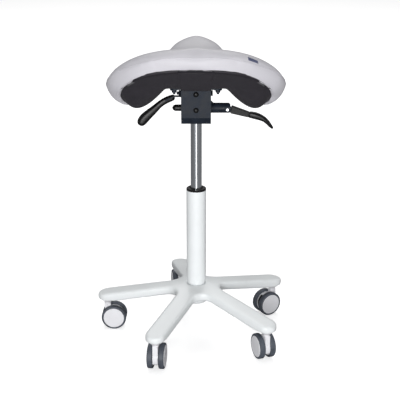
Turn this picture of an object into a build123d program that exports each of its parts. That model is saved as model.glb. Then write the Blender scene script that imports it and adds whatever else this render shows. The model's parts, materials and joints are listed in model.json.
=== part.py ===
"""Dentist's saddle stool on a five-legged caster base, in millimetres.

The origin is on the column's axis at floor level, +Z is up, +X is to the right of
someone standing behind the stool, and +Y points forward, from the wide rear of the
saddle towards its pommel. The stool stands at the top of its height range.
"""
from build123d import *
from math import cos, hypot, radians, sin
import os

os.makedirs("parts", exist_ok=True)

# ---------------------------------------------------------------- driving dimensions
RUN = 0.05                    # radial clearance of a running fit
GAP = 0.3                     # clearance between moving neighbours that do not bear

# base
LEG_COUNT = 5
LEG_FIRST_ANGLE = 29.4        # direction of the right-hand leg
STEM_CIRCLE_R = 237.0         # caster stems lie on this circle
LEG_HALF_WIDTH = 24.5
LEG_CORNER_R = 30.0           # inner corner between two legs
HUB_TOP_Z = 141.0
LEG_TIP_TOP_Z = 98.5
LEG_TIP_BOTTOM_Z = 83.0
LEG_ROOT_BOTTOM_Z = 118.0
HUB_BOTTOM_Z = 88.0
HUB_R = 29.0
LEG_EDGE_R = 4.0

# column and gas spring
COLUMN_R = 25.0
COLUMN_BORE_R = 21.5
COLUMN_TOP_Z = 395.0
COLUMN_TAPER_Z = 163.0
COLUMN_FOOT_R = 21.6
BUSH_TOP_Z = 400.0
BUSH_DEPTH = 70.0
CYLINDER_R = 14.0
CYLINDER_BORE_R = 11.0
CYLINDER_BOTTOM_Z = 288.0
CYLINDER_TOP_Z = 608.0
ROD_R = 5.0
PISTON_H = 14.0
BUTTON_R = 4.0
BUTTON_TOP_Z = 615.0

# casters
WHEEL_R = 32.5
WHEEL_W = 13.8
WHEEL_CENTRE_A = 14.05        # from the middle of the caster to the middle of a wheel
RIM_R = 27.0
CASTER_TRAIL = 17.0
CASTER_AXLE_R = 4.0
HOOD_R = 27.6
DRUM_R = 24.0
WEB_HALF_W = 6.4
STEM_R = 5.5
COLLAR_R = 17.5
COLLAR_TOP_Z = 82.2
NECK_Z = 68.0
NECK_R = 8.2
STEM_BOTTOM_Z = 66.5
STEM_DEPTH = 11.0
HOOD_START = 60.0             # the hood's two ends, as angles around the wheel axle
HOOD_END = 207.0
# name and direction of each wheel axle, in degrees from +X
CASTERS = (
    ("right", 120.8),
    ("rear", 8.0),
    ("left", -91.6),
    ("front_left", -7.3),
    ("front_right", 21.5),
)

# mechanism
PLATE = 3.0
BRACKET_HALF_W = 36.0
BRACKET_REAR_Y = -50.0
BRACKET_FRONT_Y = 45.0
BRACKET_BOTTOM_Z = 577.0
BRACKET_TOP_Z = 661.0
BRACKET_BEND_Z = 594.0
BRACKET_FRONT_TOP_Z = 640.0
SOCKET_R = 19.0
SCREW_ZS = (613.0, 652.0)
SCREW_R = 3.0
SCREW_HEAD_R = 6.5
SCREW_HEAD_H = 4.0
SCREW_GRIP = 8.0              # length of screw inside the hinge block
TILT_Y = -30.0
TILT_Z = 652.0
TILT_AXLE_R = 5.0
CLAMP_Y = 24.0
CLAMP_Z = 638.0
CLAMP_R = 4.0
NUT_R = 7.5
FRICTION_WASHER_R = 8.0
TUBE_Z = 607.0
TUBE_R = 12.5
TUBE_BORE_R = 10.0
TUBE_END_X = 79.0
TUBE_BEVEL = 6.0               # how far the tube's slanted end stands out
LIFT_PIN_X = 76.5
LIFT_PIN_Z = 604.8
LEVER_HALF_W = 4.0
LIFT_PIN_R = 4.0
TILT_PIN_X = -24.0
TILT_PIN_Z = 638.0
TILT_PIN_R = 2.5
TILT_LEVER_Y = -8.0
LUG_OFFSET = 6.0
LUG_H = 14.0
GRIP_HALF_D = 9.0             # half depth of each grip
SLEEVE_HALF_D = 8.0

# seat
SEAT_PLATE_BOTTOM_Z = 664.0
SEAT_PLATE_T = 4.0
SEAT_PLATE_HALF_W = 62.0
SEAT_PLATE_LENGTH = 134.0
SEAT_PLATE_Y = 14.0           # middle of the plate
BOLT_X = 52.5
BOLT_YS = (-40.0, 64.0)
BOLT_R = 3.0
BOLT_WASHER_R = 10.0
BOLT_WASHER_T = 3.0
BOLT_NUT_R = 5.8
BOLT_NUT_H = 6.0
BOLT_TAIL = 13.0              # bolt below the seat plate
BOLT_RISE = 28.0              # bolt above the seat plate's underside
PLATE_CORNER_R = 10.0
EAR_DEPTH = 74.0
EAR_H = 10.0
EAR_X = 28.5                  # inner face of each ear of the seat plate
PAN_T = 4.0
# cross-sections from rear to pommel: y, half width, crown z, widest z, hem x, hem z,
# rim x, rim z, arch z, lobe x, lobe z, shoulder x, floor z
SEAT_STATIONS = (
    (-188, 118, 771, 752, 104, 730, 92, 733, 739, 60, 732, 34, 733),
    (-172, 172, 785, 726, 160, 700, 148, 711, 744, 112, 708, 56, 716),
    (-145, 200, 781, 702, 188, 668, 176, 682, 740, 132, 672, 64, 692),
    (-100, 212, 766, 685, 194, 644, 183, 658, 726, 141, 634, 68, 677),
    (-50, 206, 745, 683, 184, 630, 172, 644, 714, 140, 619, 70, 676),
    (10, 176, 730, 680, 154, 632, 142, 646, 704, 122, 624, 68, 676),
    (70, 119, 736, 679, 102, 645, 90, 658, 704, 82, 640, 62, 676),
    (125, 86, 756, 680, 72, 656, 60, 667, 712, 52, 656, 36, 678),
    (165, 67, 757, 692, 54, 672, 44, 682, 717, 36, 674, 20, 684),
    (188, 48, 740, 708, 38, 694, 29, 702, 709, 24, 696, 12, 699),
)
SHELL_STATIONS = SEAT_STATIONS[2:-1]
SHELL_T = 8.0
ARCH_STEPS = (0.88, 0.66, 0.36, 0.0)
TAG_CENTRE = (131.6, -179.9, 758.2)
TAG_NORMAL = (0.314, -0.822, 0.476)
TAG_SLOPE = -0.45
TAG_LENGTH = 29.0
TAG_HEIGHT = 13.0
PAN_FLOOR_Z = 676.0
BLOCK_DEPTH = 54.0
BLOCK_Y = -88.0
BLOCK_TOP_DEPTH = 10.0
BLOCK_TOP_Y = -171.0
BLOCK_TOP_Z = 730.0
BLOCK_HALF_W = 34.0           # the pan's rear block that meets the bracket
BLOCK_TOP_HALF_W = 42.0


def save(part, label):
    """Label a finished piece and write it to its own file."""
    part.label = label
    export_step(part, f"parts/{label}.step")


def turned(z):
    """Plane at height z whose X axis points along the first leg."""
    return Plane.XY.offset(z).rotated((0, 0, LEG_FIRST_ANGLE))


# ---------------------------------------------------------------- star base
LEG_REACH = STEM_CIRCLE_R + LEG_HALF_WIDTH
LEG_SLOPE = (HUB_TOP_Z - LEG_TIP_TOP_Z) / (LEG_REACH - COLUMN_R)
PAST = 10.0                   # how far a cutting shape runs past what it cuts
with BuildPart() as star_base:
    with BuildSketch(turned(HUB_BOTTOM_Z - PAST)) as star_outline:
        with PolarLocations(0, LEG_COUNT):
            with Locations((STEM_CIRCLE_R / 2, 0)):
                Rectangle(STEM_CIRCLE_R, 2 * LEG_HALF_WIDTH)
        with PolarLocations(STEM_CIRCLE_R, LEG_COUNT):
            Circle(LEG_HALF_WIDTH)
        inner_corners = star_outline.vertices().group_by(lambda v: round(hypot(v.X, v.Y)))[0]
        fillet(inner_corners, LEG_CORNER_R)
    extrude(amount=HUB_TOP_Z - HUB_BOTTOM_Z + 2 * PAST)
    with BuildSketch(Plane.XZ):
        with BuildLine():
            Polyline(
                (0, LEG_ROOT_BOTTOM_Z),
                (HUB_R, LEG_ROOT_BOTTOM_Z),
                (STEM_CIRCLE_R - LEG_HALF_WIDTH, LEG_TIP_BOTTOM_Z),
                (LEG_REACH + PAST, LEG_TIP_BOTTOM_Z),
                (LEG_REACH + PAST, LEG_TIP_TOP_Z - PAST * LEG_SLOPE),
                (COLUMN_R, HUB_TOP_Z),
                (0, HUB_TOP_Z),
                close=True,
            )
        make_face()
    revolve(axis=Axis.Z, mode=Mode.INTERSECT)
    # the star's upper and lower rims, without the upright seams and the hub's ring
    rims = star_base.edges().filter_by(lambda e: hypot(e.center().X, e.center().Y) > 2 * HUB_R)
    rims = rims.filter_by(lambda e: abs(e.tangent_at(0.5).Z) < 0.6)
    rims = rims.filter_by(lambda e: e.geom_type in (GeomType.HYPERBOLA, GeomType.BSPLINE))
    fillet(rims, LEG_EDGE_R)
    with BuildSketch(Plane.XY.offset(HUB_BOTTOM_Z)):
        Circle(HUB_R)
    extrude(amount=HUB_TOP_Z - HUB_BOTTOM_Z - PAST)
    fillet(star_base.edges().filter_by_position(Axis.Z, HUB_BOTTOM_Z - 0.1, HUB_BOTTOM_Z + 0.1), LEG_EDGE_R)
    # conical seat of the column
    with BuildSketch(Plane.XZ):
        with BuildLine():
            Polyline(
                (0, HUB_BOTTOM_Z - PAST),
                (COLUMN_FOOT_R - 1, HUB_BOTTOM_Z - PAST),
                (COLUMN_FOOT_R - 1, HUB_BOTTOM_Z + 4),
                (COLUMN_FOOT_R, HUB_TOP_Z),
                (COLUMN_FOOT_R, HUB_TOP_Z + PAST),
                (0, HUB_TOP_Z + PAST),
                close=True,
            )
        make_face()
    revolve(axis=Axis.Z, mode=Mode.SUBTRACT)
    with BuildSketch(turned(LEG_TIP_BOTTOM_Z - 1)):
        with PolarLocations(STEM_CIRCLE_R, LEG_COUNT):
            Circle(STEM_R)
    extrude(amount=STEM_DEPTH + 1, mode=Mode.SUBTRACT)
save(star_base.part, "star_base")

with BuildPart() as caster_stems:
    with BuildSketch(turned(STEM_BOTTOM_Z)):
        with PolarLocations(STEM_CIRCLE_R, LEG_COUNT):
            Circle(STEM_R)
    extrude(amount=LEG_TIP_BOTTOM_Z + STEM_DEPTH - STEM_BOTTOM_Z)
save(caster_stems.part, "caster_stems")

# ---------------------------------------------------------------- column
with BuildPart() as column_tube:
    with BuildSketch(Plane.XZ):
        with BuildLine():
            Polyline(
                (ROD_R + RUN, HUB_BOTTOM_Z + 4),
                (COLUMN_FOOT_R - 1, HUB_BOTTOM_Z + 4),
                (COLUMN_FOOT_R, HUB_TOP_Z),
                (COLUMN_R - 2.2, HUB_TOP_Z + 1),
                (COLUMN_R, COLUMN_TAPER_Z),
                (COLUMN_R, COLUMN_TOP_Z),
                (COLUMN_BORE_R, COLUMN_TOP_Z),
                (COLUMN_BORE_R, COLUMN_TAPER_Z),
                (COLUMN_FOOT_R - 3.4, HUB_TOP_Z),
                (COLUMN_FOOT_R - 4.2, HUB_BOTTOM_Z + 8),
                (ROD_R + RUN, HUB_BOTTOM_Z + 8),
                close=True,
            )
        make_face()
    revolve(axis=Axis.Z)
save(column_tube.part, "column_tube")

with BuildPart() as column_bush:
    with BuildSketch(Plane.XZ):
        with BuildLine():
            Polyline(
                (CYLINDER_R + RUN, BUSH_TOP_Z - BUSH_DEPTH),
                (COLUMN_BORE_R, BUSH_TOP_Z - BUSH_DEPTH),
                (COLUMN_BORE_R, COLUMN_TOP_Z),
                (COLUMN_R, COLUMN_TOP_Z),
                (COLUMN_R, BUSH_TOP_Z - 1.5),
                (COLUMN_R - 1.5, BUSH_TOP_Z),
                (CYLINDER_R + 3, BUSH_TOP_Z),
                (CYLINDER_R + RUN, BUSH_TOP_Z - 3),
                close=True,
            )
        make_face()
    revolve(axis=Axis.Z)
save(column_bush.part, "column_bush")

with BuildPart() as thrust_bearing:
    with BuildSketch(Plane.XY.offset(HUB_BOTTOM_Z + 8)):
        Circle(12)
        Circle(ROD_R + GAP, mode=Mode.SUBTRACT)
    extrude(amount=4)
save(thrust_bearing.part, "thrust_bearing")

# piston rod: its foot turns on the thrust bearing, its head is the gas spring's piston
with BuildPart() as piston_rod:
    with BuildSketch(Plane.XZ):
        with BuildLine():
            Polyline(
                (0, HUB_BOTTOM_Z - 1),
                (ROD_R, HUB_BOTTOM_Z - 1),
                (ROD_R, HUB_BOTTOM_Z + 0.5),
                (ROD_R - 1, HUB_BOTTOM_Z + 0.5),
                (ROD_R - 1, HUB_BOTTOM_Z + 2),
                (ROD_R, HUB_BOTTOM_Z + 2),
                (ROD_R, HUB_BOTTOM_Z + 12.1),
                (10, HUB_BOTTOM_Z + 12.1),
                (10, HUB_BOTTOM_Z + 15),
                (ROD_R, HUB_BOTTOM_Z + 15),
                (ROD_R, CYLINDER_BOTTOM_Z + 11),
                (CYLINDER_BORE_R - RUN, CYLINDER_BOTTOM_Z + 11),
                (CYLINDER_BORE_R - RUN, CYLINDER_BOTTOM_Z + 11 + PISTON_H),
                (0, CYLINDER_BOTTOM_Z + 11 + PISTON_H),
                close=True,
            )
        make_face()
    revolve(axis=Axis.Z)
save(piston_rod.part, "piston_rod")

with BuildPart() as retaining_clip:
    with BuildSketch(Plane.XY.offset(HUB_BOTTOM_Z + 0.5)):
        Circle(9)
        Circle(ROD_R - 1, mode=Mode.SUBTRACT)
        with Locations((0, -8)):
            Rectangle(2 * ROD_R - 3, 12, mode=Mode.SUBTRACT)
    extrude(amount=1.5)
save(retaining_clip.part, "retaining_clip")

with BuildPart() as gas_cylinder:
    with BuildSketch(Plane.XZ):
        with BuildLine():
            Polyline(
                (ROD_R + RUN, CYLINDER_BOTTOM_Z),
                (CYLINDER_R - 1, CYLINDER_BOTTOM_Z),
                (CYLINDER_R, CYLINDER_BOTTOM_Z + 1),
                (CYLINDER_R, BRACKET_BOTTOM_Z),
                (CYLINDER_R - 0.8, CYLINDER_TOP_Z),
                (BUTTON_R + RUN, CYLINDER_TOP_Z),
                (BUTTON_R + RUN, CYLINDER_TOP_Z - 18),
                (CYLINDER_BORE_R, CYLINDER_TOP_Z - 18),
                (CYLINDER_BORE_R, CYLINDER_BOTTOM_Z + 10),
                (ROD_R + RUN, CYLINDER_BOTTOM_Z + 10),
                close=True,
            )
        make_face()
    revolve(axis=Axis.Z)
save(gas_cylinder.part, "gas_cylinder")

with BuildPart() as release_button:
    with BuildSketch(Plane.XY.offset(BUTTON_TOP_Z)):
        Circle(BUTTON_R)
    extrude(amount=-(BUTTON_TOP_Z - CYLINDER_TOP_Z + 12))
    fillet(release_button.edges().sort_by(Axis.Z)[-1], 0.8)
save(release_button.part, "release_button")

# ---------------------------------------------------------------- casters
for leg, (name, axle_angle) in enumerate(CASTERS):
    leg_angle = radians(LEG_FIRST_ANGLE + 360 / LEG_COUNT * leg)
    axle_dir = Vector(cos(radians(axle_angle)), sin(radians(axle_angle)), 0)
    trail_dir = Vector(-axle_dir.Y, axle_dir.X, 0)
    stem = Vector(STEM_CIRCLE_R * cos(leg_angle), STEM_CIRCLE_R * sin(leg_angle), 0)
    hub = stem + trail_dir * CASTER_TRAIL + Vector(0, 0, WHEEL_R)
    # side view of the caster, looking along its axle, and a half section through the axle
    side_view = Plane(hub, x_dir=trail_dir, z_dir=axle_dir)
    axle_section = Plane(hub, x_dir=axle_dir, z_dir=-trail_dir)
    stem_section = Plane(stem, x_dir=axle_dir, z_dir=-trail_dir)

    with BuildPart() as housing:
        with BuildSketch(side_view.offset(-WEB_HALF_W)):
            Circle(HOOD_R)
            open_angles = [HOOD_END, 270, 330, 390, 360 + HOOD_START]
            open_side = [(3 * HOOD_R * cos(radians(a)), 3 * HOOD_R * sin(radians(a))) for a in open_angles]
            Polygon((0, 0), *open_side, align=None, mode=Mode.SUBTRACT)
            with Locations((-CASTER_TRAIL, (NECK_Z - WHEEL_R) / 2)):
                Rectangle(2 * NECK_R, NECK_Z - WHEEL_R)
            Circle(DRUM_R, mode=Mode.SUBTRACT)
        extrude(amount=2 * WEB_HALF_W)
        with BuildSketch(stem_section):
            with BuildLine():
                Line((0, NECK_Z - 3.5), (WEB_HALF_W, NECK_Z - 3.5))
                Line((WEB_HALF_W, NECK_Z - 3.5), (NECK_R, NECK_Z))
                Spline(
                    (NECK_R, NECK_Z),
                    (COLLAR_R - 5, COLLAR_TOP_Z - 6.5),
                    (COLLAR_R, COLLAR_TOP_Z - 1.5),
                    tangents=((0, 1), (0.5, 1)),
                )
                Polyline(
                    (COLLAR_R, COLLAR_TOP_Z - 1.5),
                    (COLLAR_R - 1.5, COLLAR_TOP_Z),
                    (0, COLLAR_TOP_Z),
                    (0, NECK_Z - 3.5),
                )
            make_face()
        revolve(axis=Axis(stem, (0, 0, 1)))
        with BuildSketch(Plane(stem).offset(STEM_BOTTOM_Z - 0.2)):
            Circle(STEM_R + RUN)
        extrude(amount=COLLAR_TOP_Z, mode=Mode.SUBTRACT)
    save(housing.part, f"caster_{name}_housing")

    with BuildPart() as axle:
        with BuildSketch(side_view.offset(-WEB_HALF_W + 0.2)):
            Circle(DRUM_R)
        extrude(amount=2 * WEB_HALF_W - 0.4)
        with BuildSketch(side_view.offset(-WHEEL_CENTRE_A - 4)):
            Circle(CASTER_AXLE_R)
        extrude(amount=2 * WHEEL_CENTRE_A + 8)
    save(axle.part, f"caster_{name}_axle")

    for number, side in ((1, -1), (2, 1)):
        inner = WHEEL_CENTRE_A - WHEEL_W / 2
        outer = WHEEL_CENTRE_A + WHEEL_W / 2
        with BuildPart() as wheel:
            with BuildSketch(axle_section):
                with BuildLine():
                    Polyline(
                        (side * (inner + 0.5), CASTER_AXLE_R + RUN),
                        (side * (inner + 0.5), 9),
                        (side * (inner + 4), 9),
                        (side * (inner + 4), RIM_R - 4),
                        (side * (inner + 1), RIM_R - 3),
                        (side * (inner + 1), RIM_R),
                        (side * outer, RIM_R),
                        (side * (outer + 0.9), RIM_R - 1.2),
                        (side * (outer + 1.3), 0),
                        (side * (WHEEL_CENTRE_A + 4.3), 0),
                        (side * (WHEEL_CENTRE_A + 4.3), CASTER_AXLE_R + RUN),
                        close=True,
                    )
                make_face()
            revolve(axis=Axis(hub, axle_dir))
        save(wheel.part, f"caster_{name}_wheel_{number}")

        with BuildPart() as tyre:
            with BuildSketch(axle_section) as tread:
                with Locations((side * WHEEL_CENTRE_A, (RIM_R + WHEEL_R) / 2)):
                    Rectangle(WHEEL_W, WHEEL_R - RIM_R)
                fillet(tread.vertices().group_by(Axis.Y)[-1], 3)
            revolve(axis=Axis(hub, axle_dir))
        save(tyre.part, f"caster_{name}_tyre_{number}")

# ---------------------------------------------------------------- mechanism bracket
with BuildPart() as mechanism_bracket:
    with BuildSketch(Plane.YZ.offset(-BRACKET_HALF_W)):
        with BuildLine():
            Polyline(
                (BRACKET_REAR_Y, BRACKET_TOP_Z),
                (BRACKET_REAR_Y, BRACKET_BEND_Z),
                (BRACKET_REAR_Y + 10, BRACKET_BOTTOM_Z),
                (BRACKET_FRONT_Y, BRACKET_BOTTOM_Z),
                (BRACKET_FRONT_Y, BRACKET_FRONT_TOP_Z),
                (TILT_Y, BRACKET_TOP_Z),
                close=True,
            )
        make_face()
    extrude(amount=2 * BRACKET_HALF_W)
    # open the top and the front, leaving sheet walls
    with BuildSketch(Plane.YZ.offset(-BRACKET_HALF_W + PLATE)):
        with BuildLine():
            Polyline(
                (BRACKET_REAR_Y + PLATE, BRACKET_TOP_Z + PAST),
                (BRACKET_REAR_Y + PLATE, BRACKET_BEND_Z + 1),
                (BRACKET_REAR_Y + 10 + 1.5, BRACKET_BOTTOM_Z + PLATE),
                (BRACKET_FRONT_Y + PAST, BRACKET_BOTTOM_Z + PLATE),
                (BRACKET_FRONT_Y + PAST, BRACKET_TOP_Z + PAST),
                close=True,
            )
        make_face()
    extrude(amount=2 * (BRACKET_HALF_W - PLATE), mode=Mode.SUBTRACT)
    # cone socket hole in the floor
    with Locations((0, 0, BRACKET_BOTTOM_Z)):
        Cylinder(SOCKET_R - 3, 4 * PLATE, mode=Mode.SUBTRACT)
    # two screw holes in the rear wall
    with Locations([Plane((0, BRACKET_REAR_Y, z), z_dir=(0, 1, 0)) for z in SCREW_ZS]):
        Cylinder(SCREW_R, 4 * PLATE, mode=Mode.SUBTRACT)
    # axle, clamp bolt and lever tube holes through the side walls
    with Locations(Plane((0, TILT_Y, TILT_Z), z_dir=(1, 0, 0))):
        Cylinder(TILT_AXLE_R, 3 * BRACKET_HALF_W, mode=Mode.SUBTRACT)
    with Locations(Plane((0, CLAMP_Y, CLAMP_Z), z_dir=(1, 0, 0))):
        Cylinder(CLAMP_R, 3 * BRACKET_HALF_W, mode=Mode.SUBTRACT)
    with Locations(Plane((BRACKET_HALF_W, 0, TUBE_Z), z_dir=(1, 0, 0))):
        Cylinder(TUBE_R, 4 * PLATE, mode=Mode.SUBTRACT)
    with Locations(Plane((-BRACKET_HALF_W, 0, TUBE_Z), z_dir=(1, 0, 0))):
        Cylinder(4, 4 * PLATE, mode=Mode.SUBTRACT)
    # slot for the tilt lever
    with BuildSketch(Plane.YZ.offset(-BRACKET_HALF_W - 1)):
        with Locations((TILT_LEVER_Y, TILT_PIN_Z + 2)):
            RectangleRounded(2 * LEVER_HALF_W + 2, 14, 2)
    extrude(amount=PLATE + 2, mode=Mode.SUBTRACT)
save(mechanism_bracket.part, "mechanism_bracket")

with BuildPart() as cone_socket:
    with BuildSketch(Plane.XZ):
        with BuildLine():
            Polyline(
                (CYLINDER_R, BRACKET_BOTTOM_Z),
                (SOCKET_R - 3, BRACKET_BOTTOM_Z),
                (SOCKET_R - 3, BRACKET_BOTTOM_Z + PLATE),
                (SOCKET_R, BRACKET_BOTTOM_Z + PLATE),
                (SOCKET_R, CYLINDER_TOP_Z - 3),
                (CYLINDER_R - 0.8 * (CYLINDER_TOP_Z - 3 - BRACKET_BOTTOM_Z) / 31, CYLINDER_TOP_Z - 3),
                close=True,
            )
        make_face()
    revolve(axis=Axis.Z)
save(cone_socket.part, "cone_socket")

with BuildPart() as hinge_block:
    with Locations((0, BRACKET_REAR_Y + PLATE + 12.5, 632)):
        Box(2 * (EAR_X - 1), 25, 56)
    chamfer(hinge_block.edges().filter_by(Axis.X), 2)
    with Locations(Plane((0, TILT_Y, TILT_Z), z_dir=(1, 0, 0))):
        Cylinder(TILT_AXLE_R, 2 * BRACKET_HALF_W, mode=Mode.SUBTRACT)
    screw_middle_y = BRACKET_REAR_Y + PLATE + SCREW_GRIP / 2
    with Locations([Plane((0, screw_middle_y, z), z_dir=(0, 1, 0)) for z in SCREW_ZS]):
        Cylinder(SCREW_R, SCREW_GRIP, mode=Mode.SUBTRACT)
save(hinge_block.part, "hinge_block")

with BuildPart() as bracket_screws:
    for z in SCREW_ZS:
        with BuildSketch(Plane.YZ):
            with BuildLine():
                Polyline(
                    (BRACKET_REAR_Y, z),
                    (BRACKET_REAR_Y + PLATE + SCREW_GRIP, z),
                    (BRACKET_REAR_Y + PLATE + SCREW_GRIP, z + SCREW_R),
                    (BRACKET_REAR_Y, z + SCREW_R),
                    (BRACKET_REAR_Y, z + SCREW_HEAD_R),
                    (BRACKET_REAR_Y - 1, z + SCREW_HEAD_R),
                )
                ThreePointArc(
                    (BRACKET_REAR_Y - 1, z + SCREW_HEAD_R),
                    (BRACKET_REAR_Y - 3.2, z + 4.2),
                    (BRACKET_REAR_Y - SCREW_HEAD_H, z + 2),
                )
                Polyline(
                    (BRACKET_REAR_Y - SCREW_HEAD_H, z + 2),
                    (BRACKET_REAR_Y - 2, z + 2),
                    (BRACKET_REAR_Y - 2, z),
                    (BRACKET_REAR_Y, z),
                )
            make_face()
        revolve(axis=Axis((0, 0, z), (0, 1, 0)))
save(bracket_screws.part, "bracket_screws")

with BuildPart() as tilt_axle:
    with Locations(Plane((0, TILT_Y, TILT_Z), z_dir=(1, 0, 0))):
        Cylinder(TILT_AXLE_R, 2 * BRACKET_HALF_W)
    chamfer(tilt_axle.edges().filter_by(GeomType.CIRCLE), 0.5)
save(tilt_axle.part, "tilt_axle")

# clamp bolt with its head, nut and the two friction washers beside the ears
with BuildPart() as clamp_bolt:
    with BuildSketch(Plane.YZ.offset(-BRACKET_HALF_W - 12)):
        with Locations((CLAMP_Y, CLAMP_Z)):
            Circle(CLAMP_R)
    extrude(amount=2 * BRACKET_HALF_W + 12)
    with BuildSketch(Plane.YZ.offset(BRACKET_HALF_W)):
        with Locations((CLAMP_Y, CLAMP_Z)):
            RegularPolygon(NUT_R, 6)
    extrude(amount=5)
    with BuildSketch(Plane.YZ.offset(-BRACKET_HALF_W)):
        with Locations((CLAMP_Y, CLAMP_Z)):
            RegularPolygon(NUT_R, 6)
            Circle(CLAMP_R, mode=Mode.SUBTRACT)
    extrude(amount=-7)
    for side in (-1, 1):
        with BuildSketch(Plane.YZ.offset(side * (EAR_X + PLATE + GAP))):
            with Locations((CLAMP_Y, CLAMP_Z)):
                Circle(FRICTION_WASHER_R)
                Circle(CLAMP_R, mode=Mode.SUBTRACT)
        extrude(amount=side * (BRACKET_HALF_W - 2 * PLATE - GAP - EAR_X))
save(clamp_bolt.part, "clamp_bolt")

# ---------------------------------------------------------------- height lever
with BuildPart() as lever_tube:
    with BuildSketch(Plane.YZ.offset(BRACKET_HALF_W - PLATE)):
        with Locations((0, TUBE_Z)):
            Circle(TUBE_R)
            Circle(TUBE_BORE_R, mode=Mode.SUBTRACT)
    extrude(amount=TUBE_END_X + 8 - BRACKET_HALF_W)
    # weld gusset against the bracket
    with BuildSketch(Plane.XZ.offset(-LEVER_HALF_W)):
        Polygon(
            (BRACKET_HALF_W, TUBE_Z + TUBE_R - 3),
            (BRACKET_HALF_W, TUBE_Z + TUBE_R + 6),
            (BRACKET_HALF_W + 7, TUBE_Z + TUBE_R - 1),
            (BRACKET_HALF_W + 7, TUBE_Z + TUBE_R - 3),
            align=None,
        )
    extrude(amount=2 * LEVER_HALF_W)
    # slanted and bevelled outer end
    with BuildSketch(Plane.XZ.offset(-2 * TUBE_R)):
        Polygon(
            (TUBE_END_X, TUBE_Z + 2 * TUBE_R),
            (TUBE_END_X, TUBE_Z + TUBE_R),
            (TUBE_END_X + TUBE_BEVEL, TUBE_Z + 5.5),
            (TUBE_END_X + 2.6, TUBE_Z - TUBE_R),
            (TUBE_END_X + 2.6, TUBE_Z - 2 * TUBE_R),
            (TUBE_END_X + 30, TUBE_Z - 2 * TUBE_R),
            (TUBE_END_X + 30, TUBE_Z + 2 * TUBE_R),
            align=None,
        )
    extrude(amount=4 * TUBE_R, mode=Mode.SUBTRACT)
    # fork slot and pin hole
    with Locations((TUBE_END_X, 0, TUBE_Z)):
        Box(42, 2 * LEVER_HALF_W + 2 * GAP, 4 * TUBE_R, mode=Mode.SUBTRACT)
    with Locations(Plane((LIFT_PIN_X, 0, LIFT_PIN_Z), z_dir=(0, 1, 0))):
        Cylinder(LIFT_PIN_R, 4 * TUBE_R, mode=Mode.SUBTRACT)
save(lever_tube.part, "lever_tube")

with BuildPart() as lever_pin:
    with Locations(Plane((LIFT_PIN_X, 0, LIFT_PIN_Z), z_dir=(0, 1, 0))):
        Cylinder(LIFT_PIN_R, 2 * TUBE_R + 1)
    chamfer(lever_pin.edges().filter_by(GeomType.CIRCLE), 0.6)
save(lever_pin.part, "lever_pin")

with BuildPart() as lift_lever_arm:
    with BuildSketch(Plane.XZ.offset(-LEVER_HALF_W)):
        Polygon(
            (-5, BUTTON_TOP_Z + 0.4),
            (4, BUTTON_TOP_Z + 0.4),
            (30, 609.5),
            (62, 601),
            (LIFT_PIN_X, LIFT_PIN_Z - 7.5),
            (116, 592),
            (116, 596),
            (LIFT_PIN_X + 2, LIFT_PIN_Z + 7.3),
            (60, 612.5),
            (30, 614.5),
            (4, 620),
            (-5, 620),
            align=None,
        )
        with Locations((LIFT_PIN_X, LIFT_PIN_Z)):
            Circle(7.5)
            Circle(LIFT_PIN_R + RUN, mode=Mode.SUBTRACT)
    extrude(amount=2 * LEVER_HALF_W)
save(lift_lever_arm.part, "lift_lever_arm")

with BuildPart() as lift_lever_sleeve:
    with BuildSketch(Plane.XZ.offset(-SLEEVE_HALF_D)) as sleeve_side:
        Polygon((87.2, 612.3), (83.4, 594.4), (128, 584), (130.3, 596.4), align=None)
        fillet(sleeve_side.vertices(), 2)
    extrude(amount=2 * SLEEVE_HALF_D)
    fillet(lift_lever_sleeve.edges().filter_by(lambda e: abs(e.tangent_at(0.5).Y) < 0.1), 1.5)
    add(lift_lever_arm.part, mode=Mode.SUBTRACT)
save(lift_lever_sleeve.part, "lift_lever_sleeve")

with BuildPart() as lift_lever_grip:
    with BuildSketch(Plane.XZ.offset(-GRIP_HALF_D)):
        with BuildLine():
            Spline((130.35, 596.6), (143, 595.4), (157, 590.4), (173, 580), (189.5, 559.5))
            ThreePointArc((189.5, 559.5), (189.2, 556), (185.7, 556.2))
            Spline((185.7, 556.2), (179.5, 561), (171, 568.8), (160, 575.4), (143, 580), (128, 584))
            Line((128, 584), (130.35, 596.6))
        make_face()
    extrude(amount=2 * GRIP_HALF_D)
    grip_edges = lift_lever_grip.edges().filter_by(lambda e: abs(abs(e.center().Y) - GRIP_HALF_D) < 0.01)
    fillet(grip_edges, 1.6)
    add(lift_lever_sleeve.part, mode=Mode.SUBTRACT)
save(lift_lever_grip.part, "lift_lever_grip")

# ---------------------------------------------------------------- left side of the bracket
with BuildPart() as left_end_cap:
    with BuildSketch(Plane.XZ):
        with BuildLine():
            Polyline(
                (-BRACKET_HALF_W + PLATE, TUBE_Z),
                (-BRACKET_HALF_W + PLATE, TUBE_Z + 4),
                (-BRACKET_HALF_W, TUBE_Z + 4),
                (-BRACKET_HALF_W, TUBE_Z + 8.3),
                (-BRACKET_HALF_W - 14, TUBE_Z + 8),
            )
            ThreePointArc(
                (-BRACKET_HALF_W - 14, TUBE_Z + 8),
                (-BRACKET_HALF_W - 20, TUBE_Z + 5.2),
                (-BRACKET_HALF_W - 22.5, TUBE_Z + 0.5),
            )
            Polyline(
                (-BRACKET_HALF_W - 22.5, TUBE_Z + 0.5),
                (-BRACKET_HALF_W - 22.5, TUBE_Z),
                (-BRACKET_HALF_W + PLATE, TUBE_Z),
            )
        make_face()
    revolve(axis=Axis((0, 0, TUBE_Z), (1, 0, 0)))
save(left_end_cap.part, "left_end_cap")

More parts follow.
